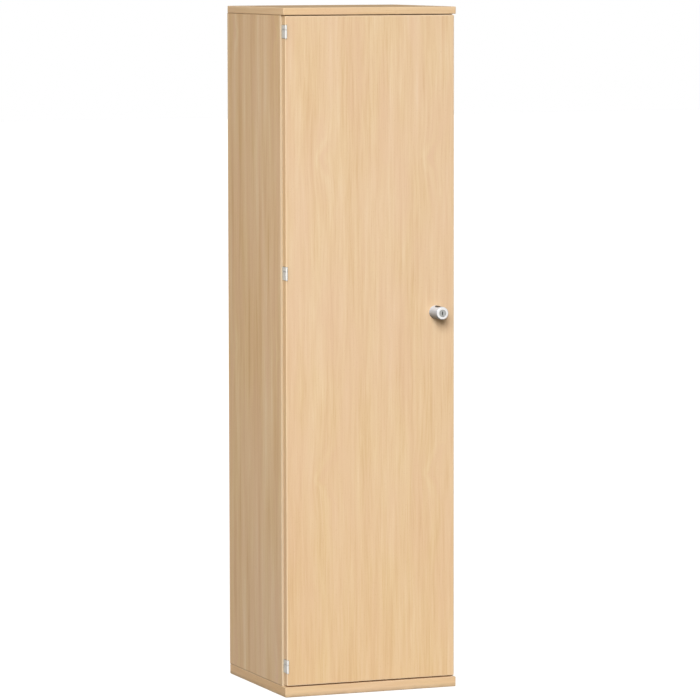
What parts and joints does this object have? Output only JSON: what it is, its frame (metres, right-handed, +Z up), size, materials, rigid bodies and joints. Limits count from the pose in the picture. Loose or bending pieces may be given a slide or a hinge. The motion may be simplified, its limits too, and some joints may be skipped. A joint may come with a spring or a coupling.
{
  "type": "office cabinet",
  "caption": "Tall narrow beech-decor office cabinet with a full-height door on corner hinges, a turn-knob rod lock, shelves inside and levelling feet in the base.",
  "frame": {"origin": "centre of the base board's underside, on the floor", "axes": "+Z up, the door faces -Y, +X to the right of someone who faces the door"},
  "size_m": [0.4, 0.391, 1.49],
  "materials": {
    "beech_decor": "melamine paper printed with fine straight beech grain, matt",
    "beech_edge": "edge band printed to match the beech decor",
    "back_board": "thin board with the same beech decor",
    "hinge_zinc": "nickel-plated zinc casting, satin",
    "bright_steel": "zinc-plated steel",
    "cast_zinc": "plain zinc casting",
    "lock_steel": "zinc-plated pressed steel",
    "satin_nickel": "satin nickel plate",
    "key_metal": "turned nickel silver",
    "grey_plastic": "moulded polyamide",
    "black_plastic": "moulded polyamide",
    "clear_buffer": "soft clear polyurethane",
    "dowel_wood": "plain beech"
  },
  "bodies": {
    "carcass": {"top_panel": "beech_decor", "base_panel": "beech_decor", "left_side_panel": "beech_decor", "right_side_panel": "beech_decor", "fixed_shelf": "beech_decor", "lower_shelf": "beech_decor", "upper_shelf": "beech_decor", "top_edge_bands": "beech_edge", "base_edge_bands": "beech_edge", "left_side_edge_band": "beech_edge", "right_side_edge_band": "beech_edge", "shelf_edge_bands": "beech_edge", "back_panel": "back_board", "top_hinge_frame_leaf": "hinge_zinc", "middle_hinge_frame_leaf": "hinge_zinc", "bottom_hinge_frame_leaf": "hinge_zinc", "top_hinge_pin": "bright_steel", "middle_hinge_pin": "bright_steel", "bottom_hinge_pin": "bright_steel", "hinge_frame_screws": "bright_steel", "strike_screws": "bright_steel", "shelf_supports": "bright_steel", "cam_bolts": "bright_steel", "strike_plate": "bright_steel", "cam_discs": "cast_zinc", "foot_sleeves": "cast_zinc", "rod_sockets": "grey_plastic", "foot_caps": "grey_plastic", "door_buffers": "clear_buffer", "dowels": "dowel_wood"},
    "door": {"door_panel": "beech_decor", "door_edge_bands": "beech_edge", "hinge_door_screws": "bright_steel", "lock_base_plate": "lock_steel", "lock_cover": "lock_steel", "lock_screws": "bright_steel", "spindle_bush": "grey_plastic", "lock_rosette": "satin_nickel", "rod_guides": "grey_plastic", "rod_guide_screws": "bright_steel", "top_hinge_door_leaf": "hinge_zinc", "middle_hinge_door_leaf": "hinge_zinc", "bottom_hinge_door_leaf": "hinge_zinc"},
    "turn_knob": {"knob": "satin_nickel", "knob_grips": "black_plastic", "knob_spindle": "lock_steel", "lock_pinion": "lock_steel", "key_cylinder": "key_metal"},
    "key_barrel": {"key_plug": "key_metal"},
    "upper_bolt": {"upper_rod": "bright_steel", "upper_rack": "lock_steel"},
    "lower_bolt": {"lower_rod": "bright_steel", "lower_rack": "lock_steel"},
    "side_bolt": {"latch_bolt": "lock_steel"},
    "front_left_leveller": {"front_left_foot": "black_plastic"},
    "rear_left_leveller": {"rear_left_foot": "black_plastic"},
    "front_right_leveller": {"front_right_foot": "black_plastic"},
    "rear_right_leveller": {"rear_right_foot": "black_plastic"}
  },
  "joints": [
    {"name": "door_swing", "type": "hinge", "parent": "carcass", "child": "door", "pos_m": [-0.1947, -0.175, 0.745], "axis": [0, 0, -1], "range_deg": [0, 250]},
    {"name": "knob_turn", "type": "hinge", "parent": "door", "child": "turn_knob", "pos_m": [0.1515, -0.174, 0.827], "axis": [0, 1, 0], "range_deg": [0, 90]},
    {"name": "key_turn", "type": "hinge", "parent": "turn_knob", "child": "key_barrel", "pos_m": [0.1515, -0.174, 0.827], "axis": [0, 1, 0], "range_deg": [0, 90]},
    {"name": "lower_rod_slide", "type": "slide", "parent": "door", "child": "lower_bolt", "axis": [0, 0, -1], "range_m": [0, 0.01178]},
    {"name": "upper_rod_slide", "type": "slide", "parent": "door", "child": "upper_bolt", "axis": [0, 0, 1], "range_m": [0, 0.0119]},
    {"name": "latch_slide", "type": "slide", "parent": "door", "child": "side_bolt", "axis": [1, 0, 0], "range_m": [0, 0.0119]},
    {"name": "front_left_leveller_screw", "type": "slide", "parent": "carcass", "child": "front_left_leveller", "axis": [0, 0, -1], "range_m": [0, 0.01]},
    {"name": "rear_left_leveller_screw", "type": "slide", "parent": "carcass", "child": "rear_left_leveller", "axis": [0, 0, -1], "range_m": [0, 0.01]},
    {"name": "front_right_leveller_screw", "type": "slide", "parent": "carcass", "child": "front_right_leveller", "axis": [0, 0, -1], "range_m": [0, 0.01]},
    {"name": "rear_right_leveller_screw", "type": "slide", "parent": "carcass", "child": "rear_right_leveller", "axis": [0, 0, -1], "range_m": [0, 0.01]}
  ],
  "couplings": [
    {"joint": "upper_rod_slide", "follows": "lower_rod_slide", "ratio": 1},
    {"joint": "latch_slide", "follows": "lower_rod_slide", "ratio": 1},
    {"joint": "knob_turn", "follows": "lower_rod_slide", "rad_per_m": 133.33}
  ]
}
